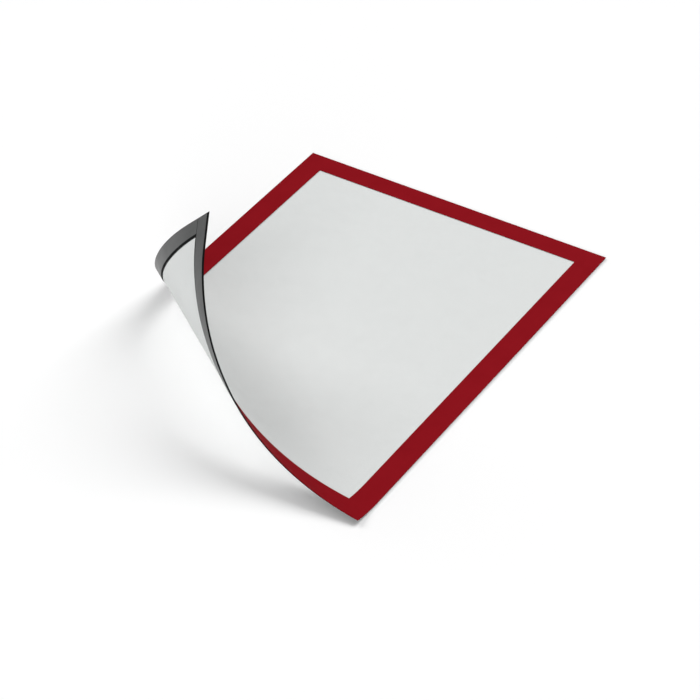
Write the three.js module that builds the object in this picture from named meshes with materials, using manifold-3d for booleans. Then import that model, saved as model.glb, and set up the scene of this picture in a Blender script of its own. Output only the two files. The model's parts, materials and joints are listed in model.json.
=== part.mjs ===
// Magnetic display frame for one sheet, lying on its back with one corner curled up and over.
// Two clear film leaves, a back and a hinged cover, are edged with flexible magnet strips that
// hold them shut round the sheet, and a coloured foil border faces the cover.
// Millimetres, +Z up. The origin is the middle of the back face, +Y runs to the hinged top edge,
// and the curled corner is the one at -X, -Y. The flexible sheets are laid out flat, cut along
// straight bend lines that fan out from one point, and turned up one band after another.
import * as THREE from 'three';
import { mergeVertices } from 'three/addons/utils/BufferGeometryUtils.js';
import Module from 'manifold-3d';

const wasm = await Module();
wasm.setup();

// Sheet on display, its play between the cover's magnet strips on each side, and the share of that
// play by which it has slipped towards the right and bottom edges
const SHEET_WIDTH = 210;
const SHEET_HEIGHT = 297;
const SHEET_PLAY = 1;
const SHEET_SLIP = 0.95;

// Strip and border widths, from the outer edge inwards
const MAGNET_WIDTH = 12;
const BORDER_WIDTH = 16;

// Thicknesses, from the back face to the front
const BACK_MAGNET_THICKNESS = 0.35;
const BACK_FILM_THICKNESS = 0.08;
const SHEET_THICKNESS = 0.1;
const FRONT_MAGNET_THICKNESS = 0.25;
const FRONT_FILM_THICKNESS = 0.08;
const BORDER_THICKNESS = 0.06;

// Clearances: between layers, between strips that butt, along the bend lines and at the hinge
const LAYER_GAP = 0.02;
const BUTT_GAP = 0.3;
const BEND_GAP = 0.3;
const HINGE_GAP = 0.1;

// Film hinge that closes the top edge and carries the cover
const HINGE_FILM_THICKNESS = 0.3;

// Curl of the corner: slope of its first bend line to the bottom edge, how far above the bottom
// edge that line leaves the right edge, how far back along it all the bend lines meet, and the
// turn of each bent band, from the first line to the tip
const FIRST_BEND_SLOPE = THREE.MathUtils.degToRad(32.3);
const FIRST_BEND_RISE = 22.5;
const FAN_DISTANCE = 650;
const BAND_TURNS = [36.5, 35, 28, 22.5].map((turn) => THREE.MathUtils.degToRad(turn));

// Outer size of the frame, half of it, and the width left round the sheet
const SHEET_INSET = MAGNET_WIDTH + SHEET_PLAY;
const HALF_WIDTH = SHEET_WIDTH / 2 + SHEET_INSET;
const HALF_HEIGHT = SHEET_HEIGHT / 2 + SHEET_INSET;
const SEAM = HALF_HEIGHT - HINGE_FILM_THICKNESS - HINGE_GAP;

// Sides of the sheet as it lies
const SHEET_SHIFT = SHEET_SLIP * SHEET_PLAY;
const SHEET_LEFT = SHEET_SHIFT - SHEET_WIDTH / 2;
const SHEET_BOTTOM = -SHEET_SHIFT - SHEET_HEIGHT / 2;

// Heights of the layers above the back face
const BACK_FILM_Z = BACK_MAGNET_THICKNESS + LAYER_GAP;
const INNER_Z = BACK_FILM_Z + BACK_FILM_THICKNESS + LAYER_GAP;
const INNER_DEPTH = Math.max(FRONT_MAGNET_THICKNESS, SHEET_THICKNESS);
const FRONT_FILM_Z = INNER_Z + INNER_DEPTH + LAYER_GAP;
const FRONT_FILM_TOP = FRONT_FILM_Z + FRONT_FILM_THICKNESS;
const BORDER_Z = FRONT_FILM_TOP + LAYER_GAP;
const FRONT_FACE_Z = BORDER_Z + BORDER_THICKNESS;

// Point off the left edge where all the bend lines meet. The last line passes just outside the
// sheet's own corner, and the rest are evenly spread.
const BEND_COUNT = BAND_TURNS.length + 1;
const FAN_CENTRE = new THREE.Vector3(
  HALF_WIDTH - FAN_DISTANCE * Math.cos(FIRST_BEND_SLOPE),
  -HALF_HEIGHT + FIRST_BEND_RISE + FAN_DISTANCE * Math.sin(FIRST_BEND_SLOPE),
  FRONT_FACE_Z,
);
const SHEET_CORNER = new THREE.Vector2(SHEET_LEFT - FAN_CENTRE.x, FAN_CENTRE.y - SHEET_BOTTOM);
const LAST_BEND_SLOPE = SHEET_CORNER.angle() + BEND_GAP / SHEET_CORNER.length();
const BEND_STEP = (LAST_BEND_SLOPE - FIRST_BEND_SLOPE) / BAND_TURNS.length;
const FAN_NEAR = FAN_DISTANCE / 4;
const FAR_OFF = FAN_DISTANCE + 2 * (HALF_WIDTH + HALF_HEIGHT);

const finishes = {
  magnet: { color: 0x676a69, roughness: 0.75, metalness: 0 },
  film: { color: 0xe6eae9, roughness: 0.2, metalness: 0 },
  sheet: { color: 0xe0e2e0, roughness: 0.9, metalness: 0 },
  border: { color: 0x8c1921, roughness: 0.45, metalness: 0 },
};

// Corner points of an upright rectangle
function rectangle(left, bottom, right, top) {
  const corners = [[left, bottom], [right, bottom], [right, top], [left, top]];
  return corners.map(([x, y]) => new THREE.Vector2(x, y));
}

// Flat plate of the given outline, with an optional window cut out of it
function plate(outline, bottom, thickness, window) {
  const shape = new THREE.Shape(outline);
  if (window) shape.holes.push(new THREE.Path(window));
  const geometry = new THREE.ExtrudeGeometry(shape, { depth: thickness, bevelEnabled: false });
  return geometry.translate(0, 0, bottom);
}

function toSolid(geometry) {
  const bare = geometry.clone();
  bare.deleteAttribute('normal');
  bare.deleteAttribute('uv');
  const merged = mergeVertices(bare);
  const vertProperties = new Float32Array(merged.attributes.position.array);
  const triVerts = new Uint32Array(merged.index.array);
  return new wasm.Manifold(new wasm.Mesh({ numProp: 3, vertProperties, triVerts }));
}

function toGeometry(solid) {
  const { vertProperties, triVerts } = solid.getMesh();
  const geometry = new THREE.BufferGeometry();
  geometry.setAttribute('position', new THREE.BufferAttribute(vertProperties, 3));
  geometry.setIndex(new THREE.BufferAttribute(triVerts, 1));
  geometry.computeVertexNormals();
  return geometry;
}

// Direction of a bend line in the flat layout, counted from 1
function bendDirection(line) {
  const slope = FIRST_BEND_SLOPE + (line - 1) * BEND_STEP;
  return new THREE.Vector3(Math.cos(slope), -Math.sin(slope), 0);
}

// Two ends of a straight cut beside a bend line, at a distance from it towards the corner
function cutBeside(line, across) {
  const along = bendDirection(line);
  const aside = new THREE.Vector3(along.y, -along.x, 0).multiplyScalar(across).add(FAN_CENTRE);
  return [FAN_NEAR, FAR_OFF].map((reach) => aside.clone().addScaledVector(along, reach));
}

// The part of the flat layout that belongs to one band: band 0 is the flat part of the frame
function bandRegion(band) {
  const before = band === 0 ? cutBeside(1, -FAR_OFF) : cutBeside(band, BEND_GAP / 2);
  const atTip = band === BEND_COUNT;
  const after = atTip ? cutBeside(band, FAR_OFF) : cutBeside(band + 1, -BEND_GAP / 2);
  const outline = [...before, ...after.reverse()];
  return toSolid(plate(outline, -FRONT_FACE_Z, 3 * FRONT_FACE_Z));
}

// Groups that carry the bands, each hung on the one before at its bend line. The lines lie in the
// front face, so the layers part at the back where the frame bends and close up when it lies flat.
// Half the turn of the band on either side is taken at each line.
const frame = new THREE.Group();
const bandGroups = [frame];
for (let band = 1; band <= BEND_COUNT; band += 1) {
  const turns = [BAND_TURNS[band - 2] ?? 0, BAND_TURNS[band - 1] ?? 0];
  const group = new THREE.Group();
  if (band === 1) group.position.copy(FAN_CENTRE);
  group.quaternion.setFromAxisAngle(bendDirection(band), -(turns[0] + turns[1]) / 2);
  bandGroups[band - 1].add(group);
  bandGroups.push(group);
}
const bandRegions = bandGroups.map((group, band) => bandRegion(band));

function addMesh(name, geometry, finish, band) {
  if (band > 0) geometry.translate(-FAN_CENTRE.x, -FAN_CENTRE.y, -FAN_CENTRE.z);
  const mesh = new THREE.Mesh(geometry, new THREE.MeshStandardMaterial(finishes[finish]));
  mesh.name = name;
  bandGroups[band].add(mesh);
}

// Cuts one flat layer along the bend lines and hangs each piece in its band. A layer that goes
// round the window leaves two arms in a band, one on the left edge and one on the bottom edge.
function addLayer(name, geometry, finish) {
  const layer = toSolid(geometry);
  bandRegions.forEach((region, band) => {
    const suffix = band === 0 ? '' : `_bend_${band}`;
    const pieces = layer.intersect(region).decompose().map(toGeometry);
    for (const piece of pieces) {
      piece.computeBoundingBox();
      const onLeft = piece.boundingBox.min.x < -HALF_WIDTH + LAYER_GAP;
      const arm = pieces.length === 1 ? '' : onLeft ? '_left' : '_bottom';
      addMesh(name + arm + suffix, piece, finish, band);
    }
  });
}

// Four magnet strips set round an edge, each running through at one corner and butting at the other
function addMagnetStrips(name, top, bottom, thickness) {
  const butt = MAGNET_WIDTH + BUTT_GAP;
  const strips = {
    top: rectangle(-HALF_WIDTH + butt, HALF_HEIGHT - MAGNET_WIDTH, HALF_WIDTH, top),
    right: rectangle(HALF_WIDTH - MAGNET_WIDTH, -HALF_HEIGHT, HALF_WIDTH, HALF_HEIGHT - butt),
    bottom: rectangle(-HALF_WIDTH, -HALF_HEIGHT, HALF_WIDTH - butt, -HALF_HEIGHT + MAGNET_WIDTH),
    left: rectangle(-HALF_WIDTH, -HALF_HEIGHT + butt, -HALF_WIDTH + MAGNET_WIDTH, top),
  };
  for (const [side, outline] of Object.entries(strips)) {
    addLayer(`${name}_${side}`, plate(outline, bottom, thickness), 'magnet');
  }
}

// Back leaf: the magnet strips that cling to a steel surface, and the film that they are bonded to
addMagnetStrips('back_magnet', HALF_HEIGHT, 0, BACK_MAGNET_THICKNESS);
const leaf = rectangle(-HALF_WIDTH, -HALF_HEIGHT, HALF_WIDTH, SEAM);
addLayer('back_film', plate(leaf, BACK_FILM_Z, BACK_FILM_THICKNESS), 'film');

// Sheet on display, lying on the back film inside the ring of the cover's strips
const sheet = rectangle(
  SHEET_LEFT, SHEET_BOTTOM, SHEET_LEFT + SHEET_WIDTH, SHEET_BOTTOM + SHEET_HEIGHT,
);
addLayer('insert_sheet', plate(sheet, INNER_Z, SHEET_THICKNESS), 'sheet');

// Cover: magnet strips that hold it shut on the back ones, clear film, and the border foil
addMagnetStrips('front_magnet', SEAM, INNER_Z, FRONT_MAGNET_THICKNESS);
addLayer('front_film', plate(leaf, FRONT_FILM_Z, FRONT_FILM_THICKNESS), 'film');
const face = rectangle(-HALF_WIDTH, -HALF_HEIGHT, HALF_WIDTH, HALF_HEIGHT);
const window = rectangle(
  -HALF_WIDTH + BORDER_WIDTH, -HALF_HEIGHT + BORDER_WIDTH,
  HALF_WIDTH - BORDER_WIDTH, HALF_HEIGHT - BORDER_WIDTH,
);
addLayer('front_border', plate(face, BORDER_Z, BORDER_THICKNESS, window), 'border');

// Film hinge along the top edge, from the foot of the back film to the top of the front film
const hinge = rectangle(-HALF_WIDTH, HALF_HEIGHT - HINGE_FILM_THICKNESS, HALF_WIDTH, HALF_HEIGHT);
addMesh('hinge_film', plate(hinge, BACK_FILM_Z, FRONT_FILM_TOP - BACK_FILM_Z), 'film', 0);

export default frame;
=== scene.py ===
import json
import math

import bmesh
import bpy
from mathutils import Matrix, Vector
from mathutils.geometry import intersect_line_line


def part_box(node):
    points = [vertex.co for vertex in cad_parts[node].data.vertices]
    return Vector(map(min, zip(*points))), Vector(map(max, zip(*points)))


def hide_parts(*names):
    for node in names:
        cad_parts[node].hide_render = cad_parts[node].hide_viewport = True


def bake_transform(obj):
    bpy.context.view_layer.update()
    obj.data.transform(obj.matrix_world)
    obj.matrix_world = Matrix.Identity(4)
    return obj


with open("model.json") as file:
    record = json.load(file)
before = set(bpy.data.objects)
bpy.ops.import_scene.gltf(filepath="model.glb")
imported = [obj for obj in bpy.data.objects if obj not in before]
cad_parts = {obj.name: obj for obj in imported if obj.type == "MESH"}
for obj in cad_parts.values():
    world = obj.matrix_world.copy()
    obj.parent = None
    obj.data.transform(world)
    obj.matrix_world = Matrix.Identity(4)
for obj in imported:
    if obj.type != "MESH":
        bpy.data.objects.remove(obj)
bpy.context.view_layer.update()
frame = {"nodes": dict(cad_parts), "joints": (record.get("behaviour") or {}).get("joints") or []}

# Back magnet strips: four strips slit from rolled magnet rubber, laid pinwheel fashion round the
# edge, each butting on the next, and bonded to the back film. The knife leaves their cut edges
# black. A black slope runs from them to the film beside the window: partly their cut edge, partly
# painted shade in the gap there. Their faces carry a painted highlight along the outer edges.
MM = 0.001
UP = Vector((0, 0, 1))
SAME_PLACE = 0.0001 * MM
STRIP_ROUNDING = 0.07 * MM
EDGE_REACH = 0.1 * MM
EDGE_LEAN = 1.25
BLACK_SLOPE_START = 0.15 * MM
BLACK_SLOPE_REACH = 1.5 * MM
BLACK_SLOPE_STEP = 0.02 * MM
MAGNET_DARK = (0.031, 0.033, 0.033, 1)
MAGNET_LIGHT = (0.041, 0.0435, 0.043, 1)
# Painted highlight along the strips' outer edges: its colour, and the width it fades out over.
MAGNET_EDGE_HIGHLIGHT = (0.08, 0.084, 0.083, 1)
EDGE_HIGHLIGHT_WIDTH = 0.55 * MM
CUT_DARK = (0.002, 0.002, 0.002, 1)
CUT_LIGHT = (0.005, 0.005, 0.005, 1)

half_width, half_height, front_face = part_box("front_border")[1]
strip_width = half_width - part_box("back_magnet_right")[0].x
strip_butt = half_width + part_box("back_magnet_top")[0].x

# The curl: the bend lines fan out from one point, and half the turn of the band on either side is
# taken at each of them. Unrolling them one after another gives their slopes in the flat layout.
SLICES_PER_BAND = 16
STAGGER = 0.006 * MM
joints = {joint["name"]: joint for joint in frame["joints"]}
bends = [joints[f"corner_bend_{line}"] for line in range(1, 6)]
bend_places = [Vector(bend["pos_m"]) for bend in bends]
bend_axes = [Vector(bend["axis"]).normalized() for bend in bends]
bend_folds = [math.radians(bend["range_deg"][1]) for bend in bends]
first_two = [(place, place + axis) for place, axis in zip(bend_places[:2], bend_axes[:2])]
fan_centre = intersect_line_line(*first_two[0], *first_two[1])[0]
bend_slopes = []
band_rolls = [Matrix.Identity(3)]
for bend_axis, fold_angle in zip(bend_axes, bend_folds):
    flat_axis = band_rolls[-1].transposed() @ bend_axis
    bend_slopes.append(math.atan2(-flat_axis.y, flat_axis.x))
    band_rolls.append(band_rolls[-1] @ Matrix.Rotation(-fold_angle, 3, flat_axis))
slope_step = (bend_slopes[-1] - bend_slopes[0]) / (len(bends) - 1)
band_turns = [0]
for fold_angle in bend_folds[:-1]:
    band_turns.append(2 * fold_angle - band_turns[-1])
band_turns.append(0)


def along_bend(passed):
    """Direction in the flat layout of the line that lies a number of bends past the first."""
    slope = bend_slopes[0] + passed * slope_step
    return Vector((math.cos(slope), -math.sin(slope), 0))


def across_bend(passed):
    along = along_bend(passed)
    return Vector((along.y, -along.x, 0))


def bends_passed(point):
    away = point - fan_centre
    return (math.atan2(-away.y, away.x) - bend_slopes[0]) / slope_step


def curl_frame(point):
    """Where the front face under a flat point comes to lie when the corner rolls up on rounds,
    with its directions there along the bend, across it and out of the face."""
    reach = (point - fan_centre).xy.length
    passed = bends_passed(point)
    band = min(max(math.floor(passed) + 1, 0), len(bends))
    tilt = 0
    dip = 0
    if band_turns[band]:
        half_turn = band_turns[band] / 2
        bow = 1 / (2 * math.sin(half_turn))
        tilt = half_turn * (2 * (passed - band) + 1)
        passed = band - 0.5 + bow * math.sin(tilt)
        dip = slope_step * bow * (math.cos(half_turn) - math.cos(tilt))
    along = along_bend(passed)
    across = across_bend(passed)
    roll = band_rolls[band]
    foot = fan_centre + roll @ (reach * (along + dip * UP))
    climb = math.cos(tilt) * across + math.sin(tilt) * UP
    out = math.cos(tilt) * UP - math.sin(tilt) * across
    return foot, roll @ along, roll @ climb, roll @ out


def curled(point):
    foot, along, across, out = curl_frame(point)
    return foot + (point.z - front_face) * out


def curled_direction(direction, point):
    foot, along, across, out = curl_frame(point)
    passed = bends_passed(point)
    lengthwise = direction.dot(along_bend(passed)) * along
    return lengthwise + direction.dot(across_bend(passed)) * across + direction.z * out


def rectangle(left, bottom, right, top):
    return [(left, bottom), (right, bottom), (right, top), (left, top)]


def cut_mesh(mesh, place, across, keep=None):
    """Cuts a flat mesh along a plane, and keeps one side of it or both."""
    whole = mesh.verts[:] + mesh.edges[:] + mesh.faces[:]
    bmesh.ops.bisect_plane(
        mesh, geom=whole, dist=SAME_PLACE, plane_co=place, plane_no=across,
        clear_outer=keep == "before", clear_inner=keep == "after",
    )


def cut_at(mesh, passed, keep=None):
    """Cuts a flat mesh along a line of the fan."""
    cut_mesh(mesh, fan_centre, across_bend(passed), keep)


def seams_of(turn):
    """The lines half a band to either side of a bend, where its turn meets its neighbours."""
    before = [turn - 1.5] if turn > 1 else []
    after = [turn - 0.5] if turn < len(bends) else []
    return before + after


def lies_on_seam(face, turn):
    square_on = 0.9999
    return any(abs(face.normal.dot(across_bend(seam))) > square_on for seam in seams_of(turn))


def is_level(face):
    """Whether a face lies flat, which the facets of a rounded edge don't."""
    return abs(face.normal.z) > 0.95


def flat_solid(outlines, bottom, top, turn, rounding):
    """One turn's share of a flat layer as a closed solid, with its own edges rounded off.
    The piece that turns round a bend line reaches half a band to either side of it."""
    mesh = bmesh.new()
    for outline in outlines:
        mesh.faces.new([mesh.verts.new((x, y, bottom)) for x, y in outline])
    bmesh.ops.remove_doubles(mesh, verts=mesh.verts[:], dist=SAME_PLACE)
    for seam in seams_of(turn):
        cut_at(mesh, seam, keep="after" if seam < turn - 1 else "before")
    if not mesh.faces:
        return None
    extruded = bmesh.ops.extrude_face_region(mesh, geom=mesh.faces[:])["geom"]
    for part in extruded:
        if isinstance(part, bmesh.types.BMVert):
            part.co.z = top
    bmesh.ops.recalc_face_normals(mesh, faces=mesh.faces[:])
    rims = []
    for edge in mesh.edges:
        level = abs(edge.verts[0].co.z - edge.verts[1].co.z) < SAME_PLACE
        walls = [face for face in edge.link_faces if not is_level(face)]
        at_seam = any(lies_on_seam(wall, turn) for wall in walls)
        if level and walls and not at_seam:
            rims.append(edge)
    bmesh.ops.bevel(mesh, geom=rims, offset=rounding, segments=2, profile=0.5, affect="EDGES")
    return mesh


def lean_edges(mesh):
    """Slants the three trimmed edges in towards the back, as the trimming blade leaves them."""
    for vertex in mesh.verts:
        x, y, z = vertex.co
        lean = EDGE_LEAN * (front_face - z)
        if half_width - abs(x) < EDGE_REACH:
            vertex.co.x -= math.copysign(lean, x)
        if half_height + y < EDGE_REACH:
            vertex.co.y += lean


# The black slope beside the window is partly the strip's cut edge and partly painted shade in the
# gap.
def add_black_slope(mesh, lengthwise):
    """Slopes a strip's edge out to its film along the window, and leaves it square at the butt."""
    along = Vector((1, 0, 0)) if lengthwise == "x" else Vector((0, 1, 0))
    across = Vector((along.y, along.x, 0))
    window_half = Vector((half_width - strip_width, half_height - strip_width, 0))
    reach = window_half.dot(along)
    for side in (-1, 1):
        for distance in (reach, reach + BLACK_SLOPE_STEP):
            cut_mesh(mesh, side * distance * along, along)
    film = max(vertex.co.z for vertex in mesh.verts)
    depth = film - min(vertex.co.z for vertex in mesh.verts)
    for vertex in mesh.verts:
        off_axis = vertex.co.dot(across)
        at_edge = abs(abs(off_axis) - window_half.dot(across)) < EDGE_REACH
        if at_edge and abs(vertex.co.dot(along)) < reach + BLACK_SLOPE_STEP / 2:
            height = (film - vertex.co.z) / depth
            outward = BLACK_SLOPE_START * height - BLACK_SLOPE_REACH * (1 - height)
            vertex.co += math.copysign(1, off_axis) * outward * across


def flat_place(point, normal, lengthwise):
    """A point's place in the UV map: plain flat metres, or for a strip its length and how far in
    from the outer edge it is. An upright edge is laid out by its own length and height."""
    upright = abs(normal.z) < 0.3
    if upright:
        return (point.x if abs(normal.y) > abs(normal.x) else point.y), point.z
    if lengthwise == "x":
        return point.x, half_height - abs(point.y)
    if lengthwise == "y":
        return point.y, half_width - abs(point.x)
    return point.x, point.y


def curl_up(mesh, name, turn, lengthwise, with_black_slope):
    """Rolls a flat solid up with the corner. Its UV map keeps the flat sizes in metres. Neighbouring
    turns lie a hair apart in height, so that their faces don't coincide where they overlap."""
    for step in range(SLICES_PER_BAND * (len(bends) - 1) + 1):
        cut_at(mesh, step / SLICES_PER_BAND)
    lean_edges(mesh)
    if with_black_slope:
        add_black_slope(mesh, lengthwise)
    mesh.normal_update()
    layout = mesh.loops.layers.uv.new("flat")
    normals = []
    for face in mesh.faces:
        face.smooth = True
        for loop in face.loops:
            flat = loop.vert.co
            loop[layout].uv = flat_place(flat, face.normal, lengthwise)
            normals.append(curled_direction(face.normal, flat))
    stagger = STAGGER * (-1) ** turn
    for vertex in mesh.verts:
        vertex.co = curled(vertex.co + stagger * UP)
    data = bpy.data.meshes.new(name)
    mesh.to_mesh(data)
    mesh.free()
    data.normals_split_custom_set(normals)
    piece = bpy.data.objects.new(name, data)
    bpy.context.scene.collection.objects.link(piece)
    return piece


def follow_turn(piece):
    """Bakes the piece's placement into its mesh."""
    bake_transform(piece)


def stands_for(layer, turn):
    """The layer's solids in the two bands that a turn reaches."""
    found = []
    for band in (turn - 1, turn):
        suffix = f"_bend_{band}" if band else ""
        found += [layer + arm + suffix for arm in ("", "_left", "_bottom")]
    return [node for node in found if node in frame["nodes"]]


def make_layer(
    name, layer, outlines, levels, rounding, finishes, lengthwise=None, with_black_slope=False,
):
    """Makes the pieces of one layer. The finishes are for its front face, its back and its edge."""
    front, back, edge = range(3)
    for turn in range(1, len(bends) + 1):
        mesh = flat_solid(outlines, *levels, turn, rounding)
        if mesh is None:
            continue
        for face in mesh.faces:
            level = is_level(face)
            face.material_index = back if level and face.normal.z < 0 else edge
            if lies_on_seam(face, turn) or level and face.normal.z > 0:
                face.material_index = front
        piece = curl_up(mesh, f"{name}_turn_{turn}", turn, lengthwise, with_black_slope)
        for finish in finishes:
            piece.data.materials.append(finish)
        follow_turn(piece)
        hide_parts(*stands_for(layer, turn))


def heights(node):
    low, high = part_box(node)
    return low.z, high.z


def add_node(tree, kind, values=None, **settings):
    """Adds a shader node with its settings, and its plain values by socket."""
    node = tree.nodes.new(f"ShaderNode{kind}")
    for setting, value in settings.items():
        setattr(node, setting, value)
    for socket, value in (values or {}).items():
        node.inputs[socket].default_value = value
    return node


def new_group(name, inputs, output):
    """An effect that several finishes share, with named values in and one named value out."""
    group = bpy.data.node_groups.new(name, "ShaderNodeTree")
    for title, value in inputs.items():
        socket = group.interface.new_socket(title, in_out="INPUT", socket_type="NodeSocketFloat")
        socket.default_value = value
    group.interface.new_socket(output, in_out="OUTPUT", socket_type="NodeSocketFloat")
    given = group.nodes.new("NodeGroupInput")
    result = group.nodes.new("NodeGroupOutput")
    return group, given, result.inputs[output]


def spread_noise(group, given, result, stretch, detail):
    """Noise over the flat layout at a count per metre, drawn out lengthwise, with its contrast."""
    place = add_node(group, "UVMap", uv_map="flat")
    drawn = add_node(group, "VectorMath", {1: (1 / stretch, 1, 1)}, operation="MULTIPLY")
    scaled = add_node(group, "VectorMath", operation="SCALE")
    noise = add_node(group, "TexNoise", {"Scale": 1, "Detail": detail, "Roughness": 0.6})
    spread = add_node(group, "MapRange", {"From Min": 0.3, "From Max": 0.7})
    group.links.new(place.outputs["UV"], drawn.inputs[0])
    group.links.new(drawn.outputs["Vector"], scaled.inputs[0])
    group.links.new(given.outputs["Per Metre"], scaled.inputs["Scale"])
    group.links.new(scaled.outputs["Vector"], noise.inputs["Vector"])
    group.links.new(noise.outputs["Fac"], spread.inputs["Value"])
    group.links.new(spread.outputs["Result"], result)


mottle, given, result = new_group("mottle", {"Per Metre": 100}, "Mottle")
spread_noise(mottle, given, result, stretch=1, detail=3)
rolled_lines, given, result = new_group("rolled_lines", {"Per Metre": 800}, "Lines")
spread_noise(rolled_lines, given, result, stretch=60, detail=2)

# Painted highlight along a strip's outer edge: full at the edge, fading out over its width, in
# patches.
painted_edge_highlight, given, result = new_group("painted_edge_highlight", {"Width": 0.5 * MM, "Patches": 1}, "Highlight")
place = add_node(painted_edge_highlight, "UVMap", uv_map="flat")
parts = add_node(painted_edge_highlight, "SeparateXYZ")
fade = add_node(painted_edge_highlight, "MapRange", {"To Min": 1, "To Max": 0}, interpolation_type="SMOOTHSTEP")
patched = add_node(painted_edge_highlight, "Math", operation="MULTIPLY")
painted_edge_highlight.links.new(place.outputs["UV"], parts.inputs["Vector"])
painted_edge_highlight.links.new(parts.outputs["Y"], fade.inputs["Value"])
painted_edge_highlight.links.new(given.outputs["Width"], fade.inputs["From Max"])
painted_edge_highlight.links.new(fade.outputs["Result"], patched.inputs[0])
painted_edge_highlight.links.new(given.outputs["Patches"], patched.inputs[1])
painted_edge_highlight.links.new(patched.outputs["Value"], result)


def new_material(name, **values):
    """A material with its shader, whose plain values are set on the shader's own sockets."""
    material = bpy.data.materials.new(name)
    material.use_nodes = True
    shader = material.node_tree.nodes["Principled BSDF"]
    for socket, value in values.items():
        shader.inputs[socket.replace("_", " ")].default_value = value
    return material, material.node_tree, shader


def add_effect(tree, group, **values):
    node = add_node(tree, "Group", node_tree=group)
    for title, value in values.items():
        node.inputs[title.replace("_", " ")].default_value = value
    return node.outputs[0]


def mix_colour(tree, amount, first, second):
    """Mixes two colours by a value. The first may be another mix. The sockets of a mix share their
    names, so they are told apart by their identifiers."""
    mix = add_node(tree, "Mix", data_type="RGBA")
    inputs = {socket.identifier: socket for socket in mix.inputs}
    outputs = {socket.identifier: socket for socket in mix.outputs}
    tree.links.new(amount, inputs["Factor_Float"])
    if isinstance(first, tuple):
        inputs["A_Color"].default_value = first
    else:
        tree.links.new(first, inputs["A_Color"])
    inputs["B_Color"].default_value = second
    return outputs["Result_Color"]


def vary(tree, amount, low, high):
    """A value that runs from low to high as the amount runs from 0 to 1."""
    spread = add_node(tree, "MapRange", {"To Min": low, "To Max": high})
    tree.links.new(amount, spread.inputs["Value"])
    return spread.outputs["Result"]


def raise_grain(tree, shader, amount, height):
    """Relief of a real height in metres."""
    bump = add_node(tree, "Bump", {"Strength": 1, "Distance": height})
    tree.links.new(amount, bump.inputs["Height"])
    tree.links.new(bump.outputs["Normal"], shader.inputs["Normal"])


magnet_face, tree, shader = new_material("magnet_face", Specular_IOR_Level=0.42)
lines = add_effect(tree, rolled_lines, Per_Metre=700)
speckle = add_effect(tree, mottle, Per_Metre=1800)
smudges = add_effect(tree, mottle, Per_Metre=45)
# The strip faces get a painted highlight along their outer edges, broken into patches.
edge_highlight = add_effect(tree, painted_edge_highlight, Width=EDGE_HIGHLIGHT_WIDTH)
tree.links.new(smudges, edge_highlight.node.inputs["Patches"])
rolled = mix_colour(tree, lines, MAGNET_DARK, MAGNET_LIGHT)
tree.links.new(mix_colour(tree, edge_highlight, rolled, MAGNET_EDGE_HIGHLIGHT), shader.inputs["Base Color"])
tree.links.new(vary(tree, smudges, low=0.3, high=0.4), shader.inputs["Roughness"])
raise_grain(tree, shader, speckle, height=0.02 * MM)

cut_edge, tree, shader = new_material("cut_edge", Roughness=0.7, Specular_IOR_Level=0.05)
crumbs = add_effect(tree, mottle, Per_Metre=2500)
tree.links.new(mix_colour(tree, crumbs, CUT_DARK, CUT_LIGHT), shader.inputs["Base Color"])
raise_grain(tree, shader, crumbs, height=0.03 * MM)


def make_strips(name, ring, top_edge, with_black_slope=False):
    """Lays a ring of four strips, each of which stops against the side of the next."""
    inner_x = half_width - strip_width
    inner_y = half_height - strip_width
    butt_x = half_width - strip_butt
    butt_y = half_height - strip_butt
    sides = {
        "top": rectangle(-butt_x, inner_y, half_width, top_edge),
        "right": rectangle(inner_x, -half_height, half_width, butt_y),
        "bottom": rectangle(-half_width, -half_height, butt_x, -inner_y),
        "left": rectangle(-half_width, -butt_y, -inner_x, top_edge),
    }
    levels = heights(f"{ring}_top")
    finishes = [magnet_face, magnet_face, cut_edge]
    for side, outline in sides.items():
        make_layer(
            f"{name}_{side}", f"{ring}_{side}", [outline], levels,
            STRIP_ROUNDING, finishes, "x" if side in ("top", "bottom") else "y", with_black_slope,
        )


make_strips("back_strip", "back_magnet", half_height, with_black_slope=True)

# Back film: a clear film leaf the size of the frame that carries the back strips and the sheet.
# It is cast smooth, a little hazed by handling, and folds over into the cover at the top edge. The
# trimming blade has drawn the black of the strips over its cut edges.
FILM_ROUNDING = 0.02 * MM
FILM_TINT = (0.85, 0.87, 0.865, 1)
fold_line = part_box("back_film")[1].y
clear_film, tree, shader = new_material("clear_film", Base_Color=FILM_TINT)
haze = add_effect(tree, mottle, Per_Metre=30)
tree.links.new(vary(tree, haze, low=0.16, high=0.34), shader.inputs["Roughness"])
tree.links.new(vary(tree, haze, low=0.025, high=0.045), shader.inputs["Alpha"])
raise_grain(tree, shader, add_effect(tree, mottle, Per_Metre=12), height=0.05 * MM)
leaf = rectangle(-half_width, -half_height, half_width, fold_line)
make_layer(
    "back_film_leaf", "back_film", [leaf], heights("back_film"),
    FILM_ROUNDING, [clear_film, clear_film, cut_edge],
)

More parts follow.
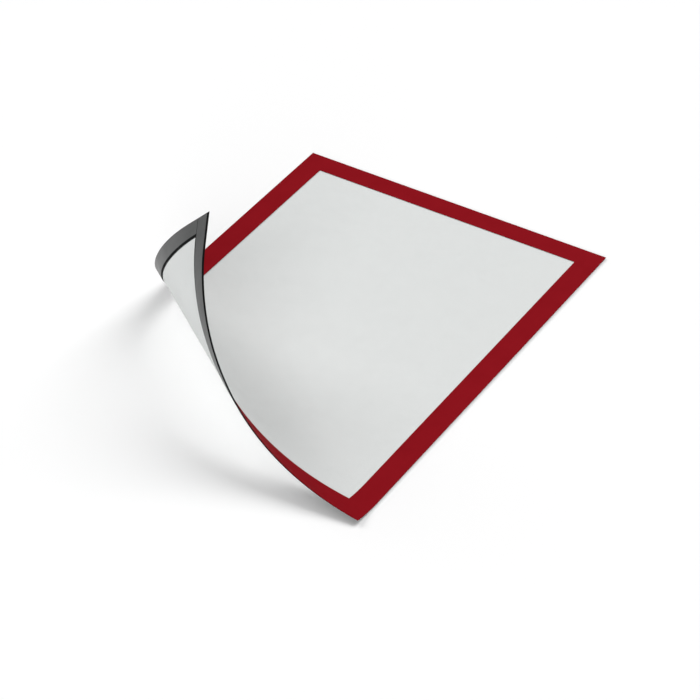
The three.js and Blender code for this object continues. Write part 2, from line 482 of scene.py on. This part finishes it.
# Sheet on display: one plain sheet of thin uncoated paper, guillotined to a standard size. It lies
# loose between the leaves and has slipped to the right and bottom strips. Most of the light that
# falls on it passes through to what lies under it.
SHEET_ROUNDING = 0.02 * MM
SHEET_SIZE = (210 * MM, 297 * MM)
PAPER_SHADE = (0.695, 0.711, 0.705, 1)
PAPER_LIGHT = (0.71, 0.725, 0.718, 1)
PAPER_SHADOW = 0.25
sheet_right, sheet_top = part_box("insert_sheet")[1].xy
paper, tree, shader = new_material("paper", Roughness=0.9, Specular_IOR_Level=0.2)
clouding = add_effect(tree, mottle, Per_Metre=420)
tree.links.new(mix_colour(tree, clouding, PAPER_SHADE, PAPER_LIGHT), shader.inputs["Base Color"])
raise_grain(tree, shader, add_effect(tree, mottle, Per_Metre=1500), height=0.002 * MM)
ray = add_node(tree, "LightPath")
in_shadow = vary(tree, ray.outputs["Is Shadow Ray"], low=1, high=PAPER_SHADOW)
tree.links.new(in_shadow, shader.inputs["Alpha"])
sheet = rectangle(sheet_right - SHEET_SIZE[0], sheet_top - SHEET_SIZE[1], sheet_right, sheet_top)
make_layer(
    "sheet", "insert_sheet", [sheet], heights("insert_sheet"),
    SHEET_ROUNDING, [paper, paper, paper],
)

# Cover strips: four more strips of the same magnet round the inside of the cover, bonded to its
# film. They cling to the back strips through the back film and shut the sheet in.
make_strips("cover_strip", "front_magnet", fold_line)

# Cover film: the front leaf, of the same clear film and cut to the same outline as the back one.
# It makes the window over the sheet, with the cover strips inside and the border on its face.
make_layer(
    "cover_film_leaf", "front_film", [leaf], heights("front_film"),
    FILM_ROUNDING, [clear_film, clear_film, cut_edge],
)

# Film hinge: the fold of the film along the top edge, from the back leaf round to the cover.
# It is the same clear film.
HINGE_FILM = 0.08 * MM
HINGE_STEPS = 12
hinge_low, hinge_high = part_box("hinge_film")
fold_depth = half_height - fold_line
fold_middle = (hinge_low.z + hinge_high.z) / 2
fold_height = (hinge_high.z - hinge_low.z) / 2


def fold_section(inset):
    """Half an oval round the top edge, from the back film up to the cover film."""
    points = []
    for step in range(HINGE_STEPS + 1):
        angle = math.pi * (step / HINGE_STEPS - 0.5)
        y = fold_line + (fold_depth - inset) * math.cos(angle)
        points.append((y, fold_middle + (fold_height - inset) * math.sin(angle)))
    return points


fold = bmesh.new()
section = fold_section(0) + fold_section(HINGE_FILM)[::-1]
ends = [[fold.verts.new((x, y, z)) for y, z in section] for x in (-half_width, half_width)]
for corner, start in enumerate(ends[0]):
    after = (corner + 1) % len(section)
    fold.faces.new([start, ends[0][after], ends[1][after], ends[1][corner]])
fold.faces.new(ends[0])
fold.faces.new(ends[1])
bmesh.ops.recalc_face_normals(fold, faces=fold.faces[:])
layout = fold.loops.layers.uv.new("flat")
for face in fold.faces:
    for loop in face.loops:
        loop[layout].uv = loop.vert.co.xz
fold_data = bpy.data.meshes.new("film_fold")
fold.to_mesh(fold_data)
fold.free()
fold_data.materials.append(clear_film)
film_fold = bpy.data.objects.new("film_fold", fold_data)
bpy.context.scene.collection.objects.link(film_fold)
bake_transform(film_fold)
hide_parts("hinge_film")

# Border: a frame of satin dark red foil stuck on the face of the cover film, cut out in one piece.
# Its back is dark grey, which shows in the gap between the strips and the sheet.
BORDER_WIDTH = 16 * MM
BORDER_ROUNDING = 0.015 * MM
RED_DEEP = (0.23, 0.0052, 0.0098, 1)
RED_LIGHT = (0.248, 0.0062, 0.0112, 1)
FOIL_BACK_DARK = (0.018, 0.019, 0.019, 1)
FOIL_BACK_LIGHT = (0.026, 0.027, 0.027, 1)
red_foil, tree, shader = new_material("red_foil", Specular_IOR_Level=0.015)
tone = add_effect(tree, mottle, Per_Metre=60)
tree.links.new(mix_colour(tree, tone, RED_DEEP, RED_LIGHT), shader.inputs["Base Color"])
tree.links.new(vary(tree, tone, low=0.55, high=0.66), shader.inputs["Roughness"])
raise_grain(tree, shader, add_effect(tree, mottle, Per_Metre=2200), height=0.01 * MM)
foil_back, tree, shader = new_material("foil_back", Roughness=0.7)
tone = add_effect(tree, mottle, Per_Metre=400)
tree.links.new(mix_colour(tree, tone, FOIL_BACK_DARK, FOIL_BACK_LIGHT), shader.inputs["Base Color"])
outer = rectangle(-half_width, -half_height, half_width, half_height)
window = rectangle(
    BORDER_WIDTH - half_width, BORDER_WIDTH - half_height,
    half_width - BORDER_WIDTH, half_height - BORDER_WIDTH,
)
arms = []
for corner in range(4):
    after = (corner + 1) % 4
    arms.append([outer[corner], outer[after], window[after], window[corner]])
make_layer(
    "border", "front_border", arms, heights("front_border"),
    BORDER_ROUNDING, [red_foil, foil_back, cut_edge],
)

# Table: a plain matt white surface, wide enough to run out of every view. It lies a little below
# the back strips, so that the corner doesn't dip into it when it is laid flat.
FLOOR_REACH = 4
FLOOR_LEVEL = -0.2 * MM
FLOOR_WHITE = (0.95, 0.95, 0.95, 1)
floor_data = bpy.data.meshes.new("floor")
floor_outline = rectangle(-FLOOR_REACH, -FLOOR_REACH, FLOOR_REACH, FLOOR_REACH)
floor_data.from_pydata([(x, y, FLOOR_LEVEL) for x, y in floor_outline], [], [(0, 1, 2, 3)])
floor = bpy.data.objects.new("floor", floor_data)
bpy.context.scene.collection.objects.link(floor)
floor_white, tree, shader = new_material(
    "floor_white", Base_Color=FLOOR_WHITE, Roughness=0.9, Specular_IOR_Level=0.0,
)
floor_data.materials.append(floor_white)

# Studio light: a broad soft light behind on the right throws the shadow towards the front left, and
# two more, on the left and low in front, light the back of the curl. The room adds a little.
WORLD_STRENGTH = 0.08
world = bpy.data.worlds.new("studio")
bpy.context.scene.world = world
world.use_nodes = True
world.node_tree.nodes["Background"].inputs["Color"].default_value = (1, 1, 1, 1)
world.node_tree.nodes["Background"].inputs["Strength"].default_value = WORLD_STRENGTH


def soft_light(name, comes_from, spread, strength):
    data = bpy.data.lights.new(name, "SUN")
    data.angle = math.radians(spread)
    data.energy = strength
    light = bpy.data.objects.new(name, data)
    light.rotation_mode = "QUATERNION"
    light.rotation_quaternion = Vector(comes_from).to_track_quat("Z", "Y")
    bpy.context.scene.collection.objects.link(light)


soft_light("key", comes_from=(0.21, 0.6, 0.75), spread=40, strength=1.93)
soft_light("left", comes_from=(-0.8, 0.1, 0.6), spread=38, strength=1.42)
soft_light("front", comes_from=(0.3, -0.85, 0.45), spread=33, strength=1.68)

# Camera: a long lens that looks down from the front right, with the frame filling the middle of the
# picture. Its place is worked out from the straight edges of the frame in the picture.
AZIMUTH = math.radians(31.287)
ELEVATION = math.radians(38.094)
ROLL = math.radians(0.626)
AIM = Vector((24.102 * MM, -18.501 * MM, front_face))
DISTANCE = 1922.5 * MM
LENS = 151.51
SENSOR = 36
lens = bpy.data.cameras.new("camera")
lens.lens = LENS
lens.sensor_width = SENSOR
camera = bpy.data.objects.new("camera", lens)
bpy.context.scene.collection.objects.link(camera)
back = Vector((
    math.sin(AZIMUTH) * math.cos(ELEVATION), -math.cos(AZIMUTH) * math.cos(ELEVATION),
    math.sin(ELEVATION),
))
level_right = Vector((math.cos(AZIMUTH), math.sin(AZIMUTH), 0))
level_up = back.cross(level_right)
right = math.cos(ROLL) * level_right + math.sin(ROLL) * level_up
top = math.cos(ROLL) * level_up - math.sin(ROLL) * level_right
facing = Matrix((right, top, back)).transposed().to_4x4()
camera.matrix_world = Matrix.Translation(AIM + DISTANCE * back) @ facing
bpy.context.scene.camera = camera
bpy.context.scene.view_settings.view_transform = "Standard"
